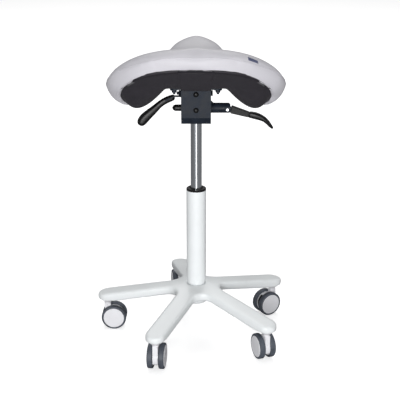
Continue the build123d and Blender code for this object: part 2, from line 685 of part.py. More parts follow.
with BuildPart() as tilt_lever_pivot:
    for lug_y in (TILT_LEVER_Y - LUG_OFFSET, TILT_LEVER_Y + LUG_OFFSET):
        with Locations((TILT_PIN_X - 1.5, lug_y, TILT_PIN_Z)):
            Box(15, PLATE, LUG_H)
    with Locations(Plane((TILT_PIN_X, TILT_LEVER_Y, TILT_PIN_Z), z_dir=(0, 1, 0))):
        Cylinder(TILT_PIN_R, 3 * LUG_OFFSET)
save(tilt_lever_pivot.part, "tilt_lever_pivot")

with BuildPart() as tilt_lever_arm:
    with BuildSketch(Plane.XZ.offset(-TILT_LEVER_Y - LEVER_HALF_W)):
        Polygon(
            (-14, TILT_PIN_Z - 1.6),
            (-14, TILT_PIN_Z + 1.6),
            (-54, TILT_PIN_Z + 1.2),
            (-76, TILT_PIN_Z - 9),
            (-75, TILT_PIN_Z - 12),
            (-54, TILT_PIN_Z - 1.8),
            align=None,
        )
        with Locations((TILT_PIN_X, TILT_PIN_Z)):
            Circle(5.5)
            Circle(TILT_PIN_R + RUN, mode=Mode.SUBTRACT)
    extrude(amount=2 * LEVER_HALF_W)
save(tilt_lever_arm.part, "tilt_lever_arm")

with BuildPart() as tilt_lever_grip:
    with BuildSketch(Plane.XZ.offset(-TILT_LEVER_Y - GRIP_HALF_D)):
        with BuildLine():
            Spline((-54.5, 640.5), (-73, 634), (-90.5, 623.5), (-108, 610.5), (-125.5, 597), (-141, 579))
            ThreePointArc((-141, 579), (-142, 567.8), (-130.5, 564.4))
            Spline((-130.5, 564.4), (-112, 580.5), (-98, 595.5), (-84, 610.5), (-70, 620), (-51.5, 628.5))
            Line((-51.5, 628.5), (-54.5, 640.5))
        make_face()
    extrude(amount=2 * GRIP_HALF_D)
    add(tilt_lever_arm.part, mode=Mode.SUBTRACT)
save(tilt_lever_grip.part, "tilt_lever_grip")

# ---------------------------------------------------------------- seat structure
with BuildPart() as seat_plate:
    with BuildSketch(Plane.XY.offset(SEAT_PLATE_BOTTOM_Z)):
        with Locations((0, SEAT_PLATE_Y)):
            RectangleRounded(2 * SEAT_PLATE_HALF_W, SEAT_PLATE_LENGTH, PLATE_CORNER_R)
    extrude(amount=SEAT_PLATE_T)
    with BuildSketch(Plane.XY.offset(SEAT_PLATE_BOTTOM_Z)):
        with Locations([(x, y) for x in (-BOLT_X, BOLT_X) for y in BOLT_YS]):
            Circle(BOLT_R)
    extrude(amount=SEAT_PLATE_T, mode=Mode.SUBTRACT)
    for ear_x in (-EAR_X - PLATE, EAR_X):
        with BuildSketch(Plane.YZ.offset(ear_x)):
            with Locations((-2, SEAT_PLATE_BOTTOM_Z - EAR_H / 2)):
                Rectangle(EAR_DEPTH, EAR_H)
            with Locations((TILT_Y, TILT_Z)):
                Circle(9)
            with Locations((CLAMP_Y + 0.5, 644)):
                RectangleRounded(22, 40, 8)
            with Locations((TILT_Y, TILT_Z)):
                Circle(TILT_AXLE_R + RUN, mode=Mode.SUBTRACT)
            clamp_r = hypot(CLAMP_Y - TILT_Y, CLAMP_Z - TILT_Z)
            with BuildLine() as slot_line:
                CenterArc((TILT_Y, TILT_Z), clamp_r, -21.5, 20)
            SlotArc(slot_line.edge(), 2 * (CLAMP_R + GAP), mode=Mode.SUBTRACT)
        extrude(amount=PLATE)
save(seat_plate.part, "seat_plate")


def mirrored_outline(right_half):
    """Points of a closed outline from its right half, listed from the top centre to the bottom centre."""
    left_half = [(-x, z) for x, z in reversed(right_half) if x > 0]
    return list(right_half) + left_half


def arch_points(rim_x, rim_z, arch_z, steps):
    """The underside of the cushion between its rims: a flattened arch."""
    foot_x = rim_x + 1
    foot_z = rim_z + 10
    return [(foot_x * s, arch_z - (arch_z - foot_z) * s**2.4) for s in steps]


with BuildPart() as seat_cushion:
    for y, half_w, crown_z, wide_z, hem_x, hem_z, rim_x, rim_z, arch_z, *pan in SEAT_STATIONS:
        with BuildSketch(Plane.XZ.offset(-y)):
            top = [
                (half_w * sin(radians(a)), wide_z + (crown_z - wide_z) * cos(radians(a)) ** 0.9)
                for a in (0, 18, 36, 54, 72)
            ]
            side = [
                (half_w, wide_z),
                (half_w * 0.55 + hem_x * 0.45, wide_z * 0.35 + hem_z * 0.65),
                (hem_x, hem_z),
                (rim_x + 1, rim_z),
            ]
            arch = arch_points(rim_x, rim_z, arch_z, (1.0,) + ARCH_STEPS)
            Polygon(*mirrored_outline(top + side + arch), align=None)
    loft(ruled=True)
save(seat_cushion.part, "seat_cushion")

with BuildPart() as seat_shell:
    for y, half_w, crown_z, wide_z, hem_x, hem_z, rim_x, rim_z, arch_z, *pan in SHELL_STATIONS:
        with BuildSketch(Plane.XZ.offset(-y)):
            upper = [(x, z - 0.6) for x, z in reversed(arch_points(rim_x, rim_z, arch_z, ARCH_STEPS))]
            lower = [(x, z - SHELL_T) for x, z in reversed(upper)]
            Polygon(*mirrored_outline(upper + lower), align=None)
    loft(ruled=True)
    # bosses that take the seat bolts
    with BuildSketch(Plane.XY.offset(SEAT_PLATE_BOTTOM_Z + SEAT_PLATE_T + 13.5)):
        with Locations([(x, y) for x in (-BOLT_X, BOLT_X) for y in BOLT_YS]):
            Circle(10)
    extrude(until=Until.NEXT)
    with BuildSketch(Plane.XY.offset(SEAT_PLATE_BOTTOM_Z)):
        with Locations([(x, y) for x in (-BOLT_X, BOLT_X) for y in BOLT_YS]):
            Circle(BOLT_R)
    extrude(amount=30, mode=Mode.SUBTRACT)
save(seat_shell.part, "seat_shell")

with BuildPart() as seat_pan:
    for y, half_w, crown_z, wide_z, hem_x, hem_z, rim_x, rim_z, arch_z, *pan in SEAT_STATIONS:
        lobe_x, lobe_z, shoulder_x, floor_z = pan
        with BuildSketch(Plane.XZ.offset(-y)):
            outer = [
                (0, floor_z),
                (shoulder_x, floor_z),
                (shoulder_x * 0.55 + lobe_x * 0.45, floor_z * 0.35 + lobe_z * 0.65),
                (lobe_x, lobe_z),
                (lobe_x * 0.4 + rim_x * 0.6, lobe_z * 0.75 + rim_z * 0.25),
                (rim_x, rim_z),
            ]
            inner_face = [(x - (1.5 if x > 0 else 0), z + PAN_T) for x, z in outer]
            Polygon(*mirrored_outline(inner_face + outer[::-1]), align=None)
    loft(ruled=True)
    # raised floor that sits on the seat plate
    floor_bottom = SEAT_PLATE_BOTTOM_Z + SEAT_PLATE_T
    with BuildSketch(Plane.XY.offset(floor_bottom)):
        with Locations((0, SEAT_PLATE_Y)):
            RectangleRounded(2 * SEAT_PLATE_HALF_W, SEAT_PLATE_LENGTH, PLATE_CORNER_R)
    extrude(amount=PAN_FLOOR_Z - floor_bottom + PAN_T)
    # rear block, tapering from the rim down to the pan's floor
    with BuildSketch(Plane.XY.offset(PAN_FLOOR_Z)):
        with Locations((0, BLOCK_Y)):
            Rectangle(2 * BLOCK_HALF_W, BLOCK_DEPTH)
    with BuildSketch(Plane.XY.offset(BLOCK_TOP_Z)):
        with Locations((0, BLOCK_TOP_Y)):
            Rectangle(2 * BLOCK_TOP_HALF_W, BLOCK_TOP_DEPTH)
    loft()
    with BuildSketch(Plane.XY.offset(SEAT_PLATE_BOTTOM_Z)):
        with Locations([(x, y) for x in (-BOLT_X, BOLT_X) for y in BOLT_YS]):
            Circle(BOLT_R)
    extrude(amount=30, mode=Mode.SUBTRACT)
save(seat_pan.part, "seat_pan")

# four studs, each with its washer and nut under the seat plate
with BuildPart() as seat_bolts:
    bolt_places = [(x, y) for x in (-BOLT_X, BOLT_X) for y in BOLT_YS]
    with BuildSketch(Plane.XY.offset(SEAT_PLATE_BOTTOM_Z - BOLT_TAIL)):
        with Locations(bolt_places):
            Circle(BOLT_R)
    extrude(amount=BOLT_TAIL + BOLT_RISE)
    with BuildSketch(Plane.XY.offset(SEAT_PLATE_BOTTOM_Z)):
        with Locations(bolt_places):
            Circle(BOLT_WASHER_R)
            Circle(BOLT_R, mode=Mode.SUBTRACT)
    extrude(amount=-BOLT_WASHER_T)
    with BuildSketch(Plane.XY.offset(SEAT_PLATE_BOTTOM_Z - BOLT_WASHER_T)):
        with Locations(bolt_places):
            RegularPolygon(BOLT_NUT_R, 6)
            Circle(BOLT_R, mode=Mode.SUBTRACT)
    extrude(amount=-BOLT_NUT_H)
save(seat_bolts.part, "seat_bolts")

# small blank maker's tag sewn on the rear of the cushion
with BuildPart() as seat_tag:
    tag_plane = Plane(TAG_CENTRE, x_dir=(1, 0, TAG_SLOPE), z_dir=TAG_NORMAL)
    with BuildSketch(tag_plane):
        RectangleRounded(TAG_LENGTH, TAG_HEIGHT, 1)
    extrude(amount=1.2)
save(seat_tag.part, "seat_tag")
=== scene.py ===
"""Dentist's saddle stool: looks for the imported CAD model.

Lengths are in metres, or in mm where a comment or docstring says so."""
import json
import math

import bmesh
import bpy
import numpy as np
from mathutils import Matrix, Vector
from mathutils.bvhtree import BVHTree
from mathutils.kdtree import KDTree


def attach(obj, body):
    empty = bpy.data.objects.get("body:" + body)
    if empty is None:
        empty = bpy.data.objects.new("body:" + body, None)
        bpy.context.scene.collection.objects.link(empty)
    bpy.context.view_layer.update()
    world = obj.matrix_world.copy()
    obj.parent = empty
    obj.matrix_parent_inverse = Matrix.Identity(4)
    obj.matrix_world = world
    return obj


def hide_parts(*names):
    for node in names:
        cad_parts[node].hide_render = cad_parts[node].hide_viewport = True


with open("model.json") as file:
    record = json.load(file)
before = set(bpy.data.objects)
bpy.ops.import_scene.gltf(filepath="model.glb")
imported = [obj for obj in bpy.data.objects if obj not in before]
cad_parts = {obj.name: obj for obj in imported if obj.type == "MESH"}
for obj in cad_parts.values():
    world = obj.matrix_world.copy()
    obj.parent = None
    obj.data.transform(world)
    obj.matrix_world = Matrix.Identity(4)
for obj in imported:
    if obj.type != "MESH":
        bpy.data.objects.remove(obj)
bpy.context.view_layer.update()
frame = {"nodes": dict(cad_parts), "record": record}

MM = 0.001
nodes = frame["nodes"]
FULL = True
SAME_POINT = 0.00001            # points closer than this are one


# ------------------------------------------------------------------ small helpers
def added(name, data):
    """A new object in the scene for a mesh, camera or light."""
    obj = bpy.data.objects.new(name, data)
    bpy.context.scene.collection.objects.link(obj)
    return obj


def shade_smooth(obj):
    obj.data.polygons.foreach_set("use_smooth", [True] * len(obj.data.polygons))


def new_object(name, verts, faces, smooth=True):
    """A mesh object from plain lists of points and faces."""
    mesh = bpy.data.meshes.new(name)
    mesh.from_pydata([tuple(v) for v in verts], [], faces)
    mesh.update()
    obj = added(name, mesh)
    if smooth:
        shade_smooth(obj)
    return obj


def tidy_normals(obj):
    """Merge doubled points and turn every face outwards."""
    work = bmesh.new()
    work.from_mesh(obj.data)
    bmesh.ops.remove_doubles(work, verts=work.verts, dist=SAME_POINT)
    bmesh.ops.dissolve_degenerate(work, edges=work.edges, dist=SAME_POINT)
    bmesh.ops.recalc_face_normals(work, faces=work.faces)
    work.to_mesh(obj.data)
    work.free()
    shade_smooth(obj)


def apply_all(obj):
    """Replace the object's mesh by its evaluated one, with no modifiers left."""
    graph = bpy.context.evaluated_depsgraph_get()
    mesh = bpy.data.meshes.new_from_object(obj.evaluated_get(graph))
    obj.modifiers.clear()
    obj.data = mesh


def with_modifier(obj, kind, **settings):
    """Add one modifier, set it up and apply it."""
    modifier = obj.modifiers.new(kind.lower(), kind)
    for key, value in settings.items():
        setattr(modifier, key, value)
    apply_all(obj)


def grid_faces(rows, columns, closed):
    """Quads of a grid of points in row order; closed joins the last column to the first."""
    faces = []
    for r in range(rows - 1):
        for c in range(columns if closed else columns - 1):
            corner = r * columns + c
            beside = r * columns + (c + 1) % columns
            faces.append((corner, beside, beside + columns, corner + columns))
    return faces


def tube_faces(rings, sides):
    """Quads between the rings of a tube, and one face over each of its ends."""
    last = (rings - 1) * sides
    ends = [tuple(range(sides))[::-1], tuple(range(last, last + sides))]
    return grid_faces(rings, sides, True) + ends


def distance_along(path):
    """Distance from the first point of a path to each of its points."""
    gaps = np.linalg.norm(np.diff(path, axis=0), axis=1)
    return np.concatenate([[0], np.cumsum(gaps)])


def rows_at(at, along, rows):
    """Rows of numbers known at the distances in along, interpolated at the distances in at."""
    return np.column_stack([np.interp(at, along, column) for column in rows.T])


def smooth_curve(keys, values, at):
    """Smooth cubic through (keys, values), with weighted slopes, at every place in at."""
    keys = np.asarray(keys, float)
    values = np.asarray(values, float)
    step = np.diff(keys)
    slope = np.diff(values, axis=0) / step[:, None]
    before, after = step[:-1, None], step[1:, None]
    tangent = np.zeros_like(values)
    tangent[1:-1] = (slope[:-1] * after + slope[1:] * before) / (after + before)
    tangent[0] = slope[0]
    tangent[-1] = slope[-1]
    at = np.clip(np.asarray(at, float), keys[0], keys[-1])
    i = np.clip(np.searchsorted(keys, at, side="right") - 1, 0, len(step) - 1)
    h = step[i][:, None]
    t = ((at - keys[i]) / step[i])[:, None]
    return (
        (2 * t**3 - 3 * t**2 + 1) * values[i]
        + (t**3 - 2 * t**2 + t) * h * tangent[i]
        + (-2 * t**3 + 3 * t**2) * values[i + 1]
        + (t**3 - t**2) * h * tangent[i + 1]
    )


# ------------------------------------------------------------------ materials
NOISE_RANGE = (0.3, 0.7)        # a noise texture seldom leaves this range


def material(name, colour, roughness, metallic=0.0):
    """A new node material; returns it with its tree and its Principled shader."""
    mat = bpy.data.materials.new(name)
    mat.use_nodes = True
    tree = mat.node_tree
    shader = tree.nodes["Principled BSDF"]
    shader.inputs["Base Color"].default_value = (*colour, 1)
    shader.inputs["Roughness"].default_value = roughness
    shader.inputs["Metallic"].default_value = metallic
    mat.diffuse_color = (*colour, 1)
    return mat, tree, shader


def texture(tree, kind, scale, stretch=(1, 1, 1), **settings):
    """A procedural texture in object coordinates, its pattern stretched per axis."""
    place = tree.nodes.new("ShaderNodeTexCoord")
    mapping = tree.nodes.new("ShaderNodeMapping")
    mapping.inputs["Scale"].default_value = stretch
    tex = tree.nodes.new(kind)
    tex.inputs["Scale"].default_value = scale
    for key, value in settings.items():
        tex.inputs[key.replace("_", " ")].default_value = value
    tree.links.new(place.outputs["Object"], mapping.inputs["Vector"])
    tree.links.new(mapping.outputs["Vector"], tex.inputs["Vector"])
    return tex


def ramp(tree, source, stops):
    """A colour ramp from a list of (position, colour)."""
    node = tree.nodes.new("ShaderNodeValToRGB")
    while len(node.color_ramp.elements) < len(stops):
        node.color_ramp.elements.new(0.5)
    for element, (position, colour) in zip(node.color_ramp.elements, stops):
        element.position = position
        element.color = (*colour, 1)
    tree.links.new(source, node.inputs["Fac"])
    return node


def bump(tree, shader, height, strength, distance):
    """Bump the shader's normal by a height output; chains onto a bump that is already there."""
    node = tree.nodes.new("ShaderNodeBump")
    node.inputs["Strength"].default_value = strength
    node.inputs["Distance"].default_value = distance
    if shader.inputs["Normal"].is_linked:
        tree.links.new(shader.inputs["Normal"].links[0].from_socket, node.inputs["Normal"])
    tree.links.new(height, node.inputs["Height"])
    tree.links.new(node.outputs["Normal"], shader.inputs["Normal"])


def vary(tree, shader, tex, socket, low, high):
    """Drive a value socket of the shader between low and high by a texture."""
    node = tree.nodes.new("ShaderNodeMapRange")
    node.inputs["From Min"].default_value = NOISE_RANGE[0]
    node.inputs["From Max"].default_value = NOISE_RANGE[1]
    node.inputs["To Min"].default_value = low
    node.inputs["To Max"].default_value = high
    tree.links.new(tex, node.inputs["Value"])
    tree.links.new(node.outputs["Result"], shader.inputs[socket])


def tint(tree, shader, tex, dark, light):
    """Drive the base colour between two colours by a texture."""
    node = ramp(tree, tex, list(zip(NOISE_RANGE, (dark, light))))
    tree.links.new(node.outputs["Color"], shader.inputs["Base Color"])


def scaled(colour, factor):
    """A colour made darker or lighter."""
    return tuple(min(1.0, c * factor) for c in colour)


def white_paint(name):
    """White powder coat: a fine orange peel with slightly uneven gloss."""
    colour = (0.87, 0.90, 0.91)
    mat, tree, shader = material(name, colour, 0.42)
    cloud = texture(tree, "ShaderNodeTexNoise", 9, Detail=3)
    tint(tree, shader, cloud.outputs["Fac"], scaled(colour, 0.965), scaled(colour, 1.03))
    peel = texture(tree, "ShaderNodeTexNoise", 420, Detail=2)
    bump(tree, shader, peel.outputs["Fac"], 0.12, 0.0002)
    vary(tree, shader, cloud.outputs["Fac"], "Roughness", 0.36, 0.48)
    shader.inputs["Coat Weight"].default_value = 0.12
    shader.inputs["Coat Roughness"].default_value = 0.25
    return mat


def chrome():
    """Polished chrome with faint turning marks around its axis."""
    mat, tree, shader = material("chrome", (0.66, 0.69, 0.71), 0.12, 1.0)
    rings = texture(tree, "ShaderNodeTexNoise", 60, stretch=(1, 1, 40), Detail=3)
    bump(tree, shader, rings.outputs["Fac"], 0.04, 0.0001)
    vary(tree, shader, rings.outputs["Fac"], "Roughness", 0.08, 0.16)
    return mat


def dark_paint():
    """Blue-black textured paint, nearly matt."""
    colour = (0.012, 0.017, 0.027)
    mat, tree, shader = material("dark_textured_paint", colour, 0.45)
    shader.inputs["Specular IOR Level"].default_value = 0.17
    patch = texture(tree, "ShaderNodeTexNoise", 55, Detail=4)
    tint(tree, shader, patch.outputs["Fac"], scaled(colour, 0.7), scaled(colour, 1.3))
    grain = texture(tree, "ShaderNodeTexVoronoi", 900)
    bump(tree, shader, grain.outputs["Distance"], 0.25, 0.0002)
    vary(tree, shader, patch.outputs["Fac"], "Roughness", 0.36, 0.55)
    return mat


def zinc():
    """Zinc-plated steel with smears of duller plating."""
    mat, tree, shader = material("zinc_plated_steel", (0.5, 0.51, 0.53), 0.3, 1.0)
    smear = texture(tree, "ShaderNodeTexNoise", 90, stretch=(1, 1, 3), Detail=4)
    tint(tree, shader, smear.outputs["Fac"], (0.38, 0.39, 0.41), (0.6, 0.61, 0.63))
    vary(tree, shader, smear.outputs["Fac"], "Roughness", 0.22, 0.42)
    return mat


def moulded(name, colour, roughness, grain_scale, grain_depth, spread=0.2, specular=0.25):
    """Moulded plastic with a fine grain."""
    mat, tree, shader = material(name, colour, roughness)
    shader.inputs["Specular IOR Level"].default_value = specular
    patch = texture(tree, "ShaderNodeTexNoise", 40, Detail=3)
    tint(tree, shader, patch.outputs["Fac"], scaled(colour, 1 - spread), scaled(colour, 1 + spread))
    grain = texture(tree, "ShaderNodeTexVoronoi", grain_scale)
    bump(tree, shader, grain.outputs["Distance"], 0.35, grain_depth)
    vary(tree, shader, patch.outputs["Fac"], "Roughness", roughness - 0.06, roughness + 0.08)
    return mat


def tyre_rubber():
    """Dark grey rubber, dusty in patches."""
    colour = (0.068, 0.078, 0.098)
    mat, tree, shader = material("tyre_rubber", colour, 0.55)
    dust = texture(tree, "ShaderNodeTexNoise", 70, Detail=5)
    tint(tree, shader, dust.outputs["Fac"], scaled(colour, 0.8), scaled(colour, 1.35))
    bump(tree, shader, dust.outputs["Fac"], 0.15, 0.0003)
    vary(tree, shader, dust.outputs["Fac"], "Roughness", 0.45, 0.68)
    return mat


def leatherette():
    """Pale grey synthetic leather: a fine pebble grain with soft creases and a low sheen."""
    colour = (0.60, 0.59, 0.63)
    mat, tree, shader = material("pale_grey_leatherette", colour, 0.5)
    cloud = texture(tree, "ShaderNodeTexNoise", 14, Detail=4)
    tint(tree, shader, cloud.outputs["Fac"], scaled(colour, 0.96), scaled(colour, 1.035))
    pebble = texture(tree, "ShaderNodeTexVoronoi", 620)
    bump(tree, shader, pebble.outputs["Distance"], 0.35, 0.00035)
    crease = texture(tree, "ShaderNodeTexNoise", 38, Detail=6, Roughness=0.65)
    bump(tree, shader, crease.outputs["Fac"], 0.12, 0.0015)
    vary(tree, shader, cloud.outputs["Fac"], "Roughness", 0.44, 0.6)
    shader.inputs["Sheen Weight"].default_value = 0.12
    shader.inputs["Sheen Roughness"].default_value = 0.5
    return mat


def thread():
    """Twisted grey sewing thread."""
    mat, tree, shader = material("grey_thread", (0.5, 0.49, 0.53), 0.7)
    twist = texture(tree, "ShaderNodeTexWave", 900, Distortion=1.5)
    tint(tree, shader, twist.outputs["Fac"], (0.42, 0.41, 0.45), (0.58, 0.57, 0.61))
    bump(tree, shader, twist.outputs["Fac"], 0.4, 0.0002)
    return mat


def woven_tag():
    """Plain ribbon woven from two dark blues, without lettering."""
    mat, tree, shader = material("woven_tag", (0.09, 0.11, 0.19), 0.8)
    weave = texture(tree, "ShaderNodeTexWave", 700, Distortion=0.6)
    tint(tree, shader, weave.outputs["Fac"], (0.055, 0.07, 0.14), (0.16, 0.17, 0.26))
    bump(tree, shader, weave.outputs["Fac"], 0.5, 0.0003)
    return mat


MATERIALS = {
    "white_paint": white_paint("white_powder_coat"),
    "white_base": white_paint("white_powder_coat_base"),
    "chrome": chrome(),
    "black_paint": dark_paint(),
    "steel": zinc(),
    "black_plastic": moulded("black_plastic", (0.0045, 0.0045, 0.005), 0.3, 700, 0.0002),
    "grey_plastic": moulded("dark_grey_plastic", (0.012, 0.012, 0.012), 0.45, 700, 0.0003),
    "pan_plastic": moulded("grained_pan_plastic", (0.026, 0.0235, 0.029), 0.5, 480, 0.0004, 0.12),
    "white_plastic": moulded("white_plastic", (0.86, 0.86, 0.89), 0.3, 500, 0.00005, 0.02),
    "tyre": tyre_rubber(),
    "upholstery": leatherette(),
    "shell": moulded("seat_shell_plastic", (0.08, 0.08, 0.085), 0.55, 300, 0.0003),
    "tag": woven_tag(),
}


def dress(obj, slot):
    """Give an object one material and no other."""
    obj.data.materials.clear()
    obj.data.materials.append(MATERIALS[slot])


def piece(obj, body, slot, *replaced):
    """A finished piece: given the material for its slot, put under its body, with the CAD nodes it
    stands for hidden.
    """
    dress(obj, slot)
    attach(obj, body)
    if replaced:
        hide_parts(*replaced)
    return obj


# steel nodes that are blackened; the screw heads are smoother and glossier than the rest
DARK_NODES = {
    "lift_lever_arm": "black_paint",
    "clamp_bolt": "black_paint",
    "tilt_lever_pivot": "black_paint",
    "tilt_axle": "black_paint",
    "bracket_screws": "black_plastic",
}
for part in frame["record"]["subparts"]:
    dress(nodes[part["node"]], DARK_NODES.get(part["node"], part["material_slot"]))

# ------------------------------------------------------------------ seat outline
# Half of the seat's plan outline, from the rear middle to the pommel. Each row holds, in mm:
# x, y of the widest line, its height, the hem's inset and height, the rim's inset and height,
# the y of the spine point it faces, and the exponents of the dome between the two.
OUTLINE = np.array([
    (0, -189, 764, 5, 738, 4.5, 736.8, -150, 3.4, 2.0),
    (62, -188, 762, 5, 735, 4.5, 733.8, -150, 3.2, 2.0),
    (120, -178, 748, 8, 724, 7.5, 722.8, -142, 3.0, 2.0),
    (168, -152, 724, 12, 702, 12.5, 701.5, -130, 3.0, 2.0),
    (198, -122, 703, 20, 677, 22, 679, -112, 2.4, 2.0),
    (211, -88, 682, 28, 655, 30.5, 658, -85, 2.0, 2.0),
    (212, -64, 680, 33, 636, 35, 640, -64, 1.8, 1.8),
    (205, -38, 681, 36, 622, 39, 628, -42, 1.5, 1.6),
    (176, 10, 678, 30, 628, 33, 638, 8, 1.6, 1.6),
    (122, 60, 677, 22, 644, 26, 655, 58, 2.2, 1.8),
    (90, 108, 676, 17, 652, 21, 663, 100, 3.2, 2.0),
    (74, 150, 688, 14, 664, 18, 674, 126, 2.4, 2.0),
    (50, 178, 702, 12, 684, 16, 692, 138, 2.0, 2.0),
    (0, 190, 710, 10, 694, 14, 700, 138, 2.6, 2.0),
], float)
# height of the seat along its middle, in mm, by y
SPINE_Y = (-150, -130, -112, -85, -45, 0, 20, 60, 95, 120, 138)
SPINE_Z = (783, 776, 766, 753, 739, 728, 726, 730, 743, 752, 757)
# the turn under the widest line: progress, then the shares of the hem's inset and drop;
# past a progress of 1 the cover runs flat along the underside of the hem
TURN_AT = (0, 0.35, 0.7, 1.0, 1.2)
TURN = np.array([(0, 0), (0.16, 0.42), (0.5, 0.82), (1.0, 1.0), (1.0, 0.97)])
# width of the hem's flat underside by its height, in mm
HEM_WIDTH = ((640, 5), (715, 11))


def outline_at(count):
    """count rows around the whole outline, anticlockwise from the rear middle, right side first."""
    mirrored = OUTLINE[::-1].copy()
    mirrored[:, 0] *= -1
    rows = np.vstack([OUTLINE, mirrored[1:]])
    keys = distance_along(rows[:, :2])
    total = keys[-1]
    # a few rows from the other end on each side make the curve close smoothly
    keys = np.concatenate([keys[-4:-1] - total, keys, keys[1:4] + total])
    rows = np.vstack([rows[-4:-1], rows, rows[1:4]])
    return smooth_curve(keys, rows, np.linspace(0, total, count, endpoint=False))


def spine_z(y):
    """Height of the seat along its middle, in mm."""
    return smooth_curve(SPINE_Y, np.array(SPINE_Z, float)[:, None], y)[:, 0]


def inward_from(rows):
    """Unit plan vector from each outline point towards the spine point it faces."""
    inward = np.column_stack([np.zeros(len(rows)), rows[:, 7]]) - rows[:, :2]
    return inward / np.hypot(*inward.T)[:, None]


def seat_rings(around, over, under):
    """Rings of points, in mm, from the spine out over the edge and under it to the hem."""
    rows = outline_at(around)
    edge = rows[:, :2]
    widest, hem_in, hem_z = rows[:, 2:5].T
    spine = np.column_stack([np.zeros(around), rows[:, 7]])
    p, q = rows[:, 8:].T
    top = spine_z(rows[:, 7])
    inward = inward_from(rows)
    rings = []
    for step in range(over + 1):
        rho = math.sin(0.5 * math.pi * step / over)
        drop = 1 - np.maximum(0, 1 - rho**p) ** (1 / q)
        plan = spine + (edge - spine) * rho
        rings.append(np.column_stack([plan, top + (widest - top) * drop]))
    for step in range(1, under + 1):
        progress = TURN_AT[-1] * step / under
        across, fall = smooth_curve(TURN_AT, TURN, [progress])[0]
        past = max(0.0, progress - 1) / (TURN_AT[-1] - 1)
        inset = hem_in * across + np.interp(hem_z, *zip(*HEM_WIDTH)) * past
        height = widest + (hem_z - widest) * fall
        rings.append(np.column_stack([edge + inward * inset[:, None], height]))
    return inward, rings


COVER_RINGS = (176, 22, 14)     # points around; rings over the dome and under the edge
COVER_VOXEL = 0.0045
COVER_SMOOTHING = 6
ARCH_Z = 706.0                  # the arch between the cushion and its shell, in mm
ARCH_RISE = 8                   # how much higher it is in the middle than at its sides
ARCH_IN = 45                    # width of the slope beside it, in mm
LIP_IN, LIP_UP = 3, 14          # the strip that goes up behind the hem, in mm
LEAST_PADDING = 25              # between the arch and the top of the seat, in mm
PRESSURE = 4
CLOTH_QUALITY = 4
CLOTH_FRAMES = 20
SWELL = 0.0035                  # the furthest that the cover swells
HEM_HELD = 0.006                # it doesn't swell this close to the hem,
HEM_FADE = 0.03                 # and swells in full this much further away
TINY = 1e-9                     # keeps a point that hasn't moved from dividing by zero


def swell(obj, hem_points):
    """Blow the cover up as cloth; each point's move is capped, and fades out at the hem."""
    before = np.array([v.co[:] for v in obj.data.vertices])
    cloth = obj.modifiers.new("cloth", "CLOTH")
    cloth.settings.use_pressure = True
    cloth.settings.uniform_pressure_force = PRESSURE
    cloth.settings.effector_weights.gravity = 0
    cloth.settings.quality = CLOTH_QUALITY
    scene = bpy.context.scene
    scene.frame_start = 1
    scene.frame_end = CLOTH_FRAMES
    for number in range(1, CLOTH_FRAMES + 1):
        scene.frame_set(number)
    graph = bpy.context.evaluated_depsgraph_get()
    after = np.array([v.co[:] for v in obj.evaluated_get(graph).data.vertices])
    obj.modifiers.clear()
    scene.frame_set(1)
    hem = KDTree(len(hem_points))
    for number, point in enumerate(hem_points):
        hem.insert(point, number)
    hem.balance()
    away = np.array([hem.find(point)[2] for point in before])
    cap = SWELL * np.clip((away - HEM_HELD) / HEM_FADE, 0, 1)
    move = after - before
    length = np.linalg.norm(move, axis=1)
    move *= (np.minimum(length, cap) / np.maximum(length, TINY))[:, None]
    obj.data.vertices.foreach_set("co", (before + move).ravel())
    obj.data.update()


def cushion():
    """The upholstered saddle: its foam swells by cloth pressure inside the cover."""
    inward, rings = seat_rings(*COVER_RINGS)
    hem = rings[-1]
    # hidden inside: up behind the hem, then across as an arch
    lip = hem.copy()
    lip[:, :2] += inward * LIP_IN
    lip[:, 2] += LIP_UP
    arch = lip.copy()
    arch[:, :2] += inward * ARCH_IN
    arch[:, 2] = np.maximum(lip[:, 2], ARCH_Z - ARCH_RISE)
    middle = rings[0].copy()
    middle[:, 2] = np.minimum(middle[:, 2] - LEAST_PADDING, ARCH_Z + ARCH_RISE)
    rings = rings + [lip, arch, middle]
    faces = grid_faces(len(rings), COVER_RINGS[0], True)
    obj = new_object("cushion_cover", np.vstack(rings) * MM, faces)
    tidy_normals(obj)
    with_modifier(obj, "REMESH", mode="VOXEL", voxel_size=COVER_VOXEL, use_smooth_shade=True)
    if FULL:
        swell(obj, hem * MM)
    with_modifier(obj, "SMOOTH", factor=0.5, iterations=COVER_SMOOTHING)
    with_modifier(obj, "SUBSURF", levels=1, render_levels=1)
    shade_smooth(obj)
    piece(obj, "seat", "upholstery", "seat_cushion")
    return obj


cover = cushion()

# ------------------------------------------------------------------ pan under the seat
CREASE_Y = -125.0               # the crease across the rear, behind the lobes, in mm
CREASE_Z = 684.0
BAND_SLOPE = 0.98               # of the band that goes up from the crease to the rear rim
RIM_BLEND = 9.0                 # width over which the underside meets the rim, in mm
LOBE_INNER_POWER = 1.7          # how the lobe rises to the flat floor,
LOBE_OUTER_POWER = 2.2          # and to the side
LOBE_OUTER_WIDTH = 46           # width and height of that rise, in mm
LOBE_OUTER_RISE = 48
PAN_RINGS = (200, 34)           # points around; rings from the rim to the middle
PAN_LIP_IN, PAN_LIP_UP = 5, 7   # the lip inside the rim, hidden by the cushion, in mm
PAN_MIDDLE_Y = (-150, 150)      # ends of the line on which the rings close
# y of each section, then in mm: lobe bottom's x and z, x where the flat floor ends, floor z
PAN_SECTIONS = np.array([
    (-125, 136, 684, 70, 684),
    (-112, 138, 660, 70, 681),
    (-95, 140, 640, 70, 678),
    (-75, 140, 626, 70, 676),
    (-50, 140, 619, 70, 676),
    (10, 122, 624, 68, 676),
    (70, 84, 640, 58, 676),
    (125, 54, 656, 34, 678),
    (165, 38, 674, 20, 684),
    (190, 26, 696, 12, 699),
], float)


